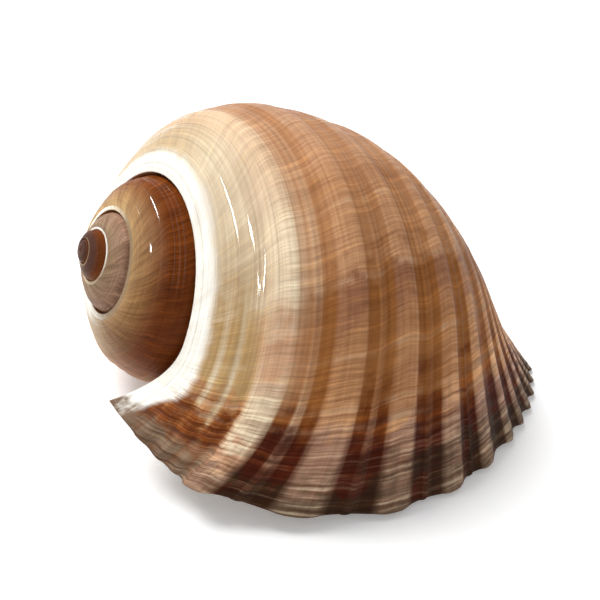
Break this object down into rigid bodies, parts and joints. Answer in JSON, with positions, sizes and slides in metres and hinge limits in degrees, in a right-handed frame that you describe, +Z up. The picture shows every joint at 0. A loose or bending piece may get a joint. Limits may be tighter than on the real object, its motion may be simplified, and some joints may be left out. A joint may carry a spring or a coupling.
{
  "type": "tun shell",
  "caption": "Large rounded sea snail shell with a low spire, broad flat spiral ribs, a channelled suture and a wide mouth with a scalloped lip, lying on its mouth.",
  "frame": {"origin": "centre of the bounding box's underside, on the floor that the shell lies on", "axes": "+Z up; +X from the apex's end towards the canal's end; the mouth faces down (-Z) and its outer lip runs along -Y"},
  "size_m": [0.1736, 0.1542, 0.1074],
  "materials": {
    "shell": "satin, brown with darker grooves and a cream rim"
  },
  "bodies": {
    "root": {"shell": "shell"}
  },
  "joints": []
}
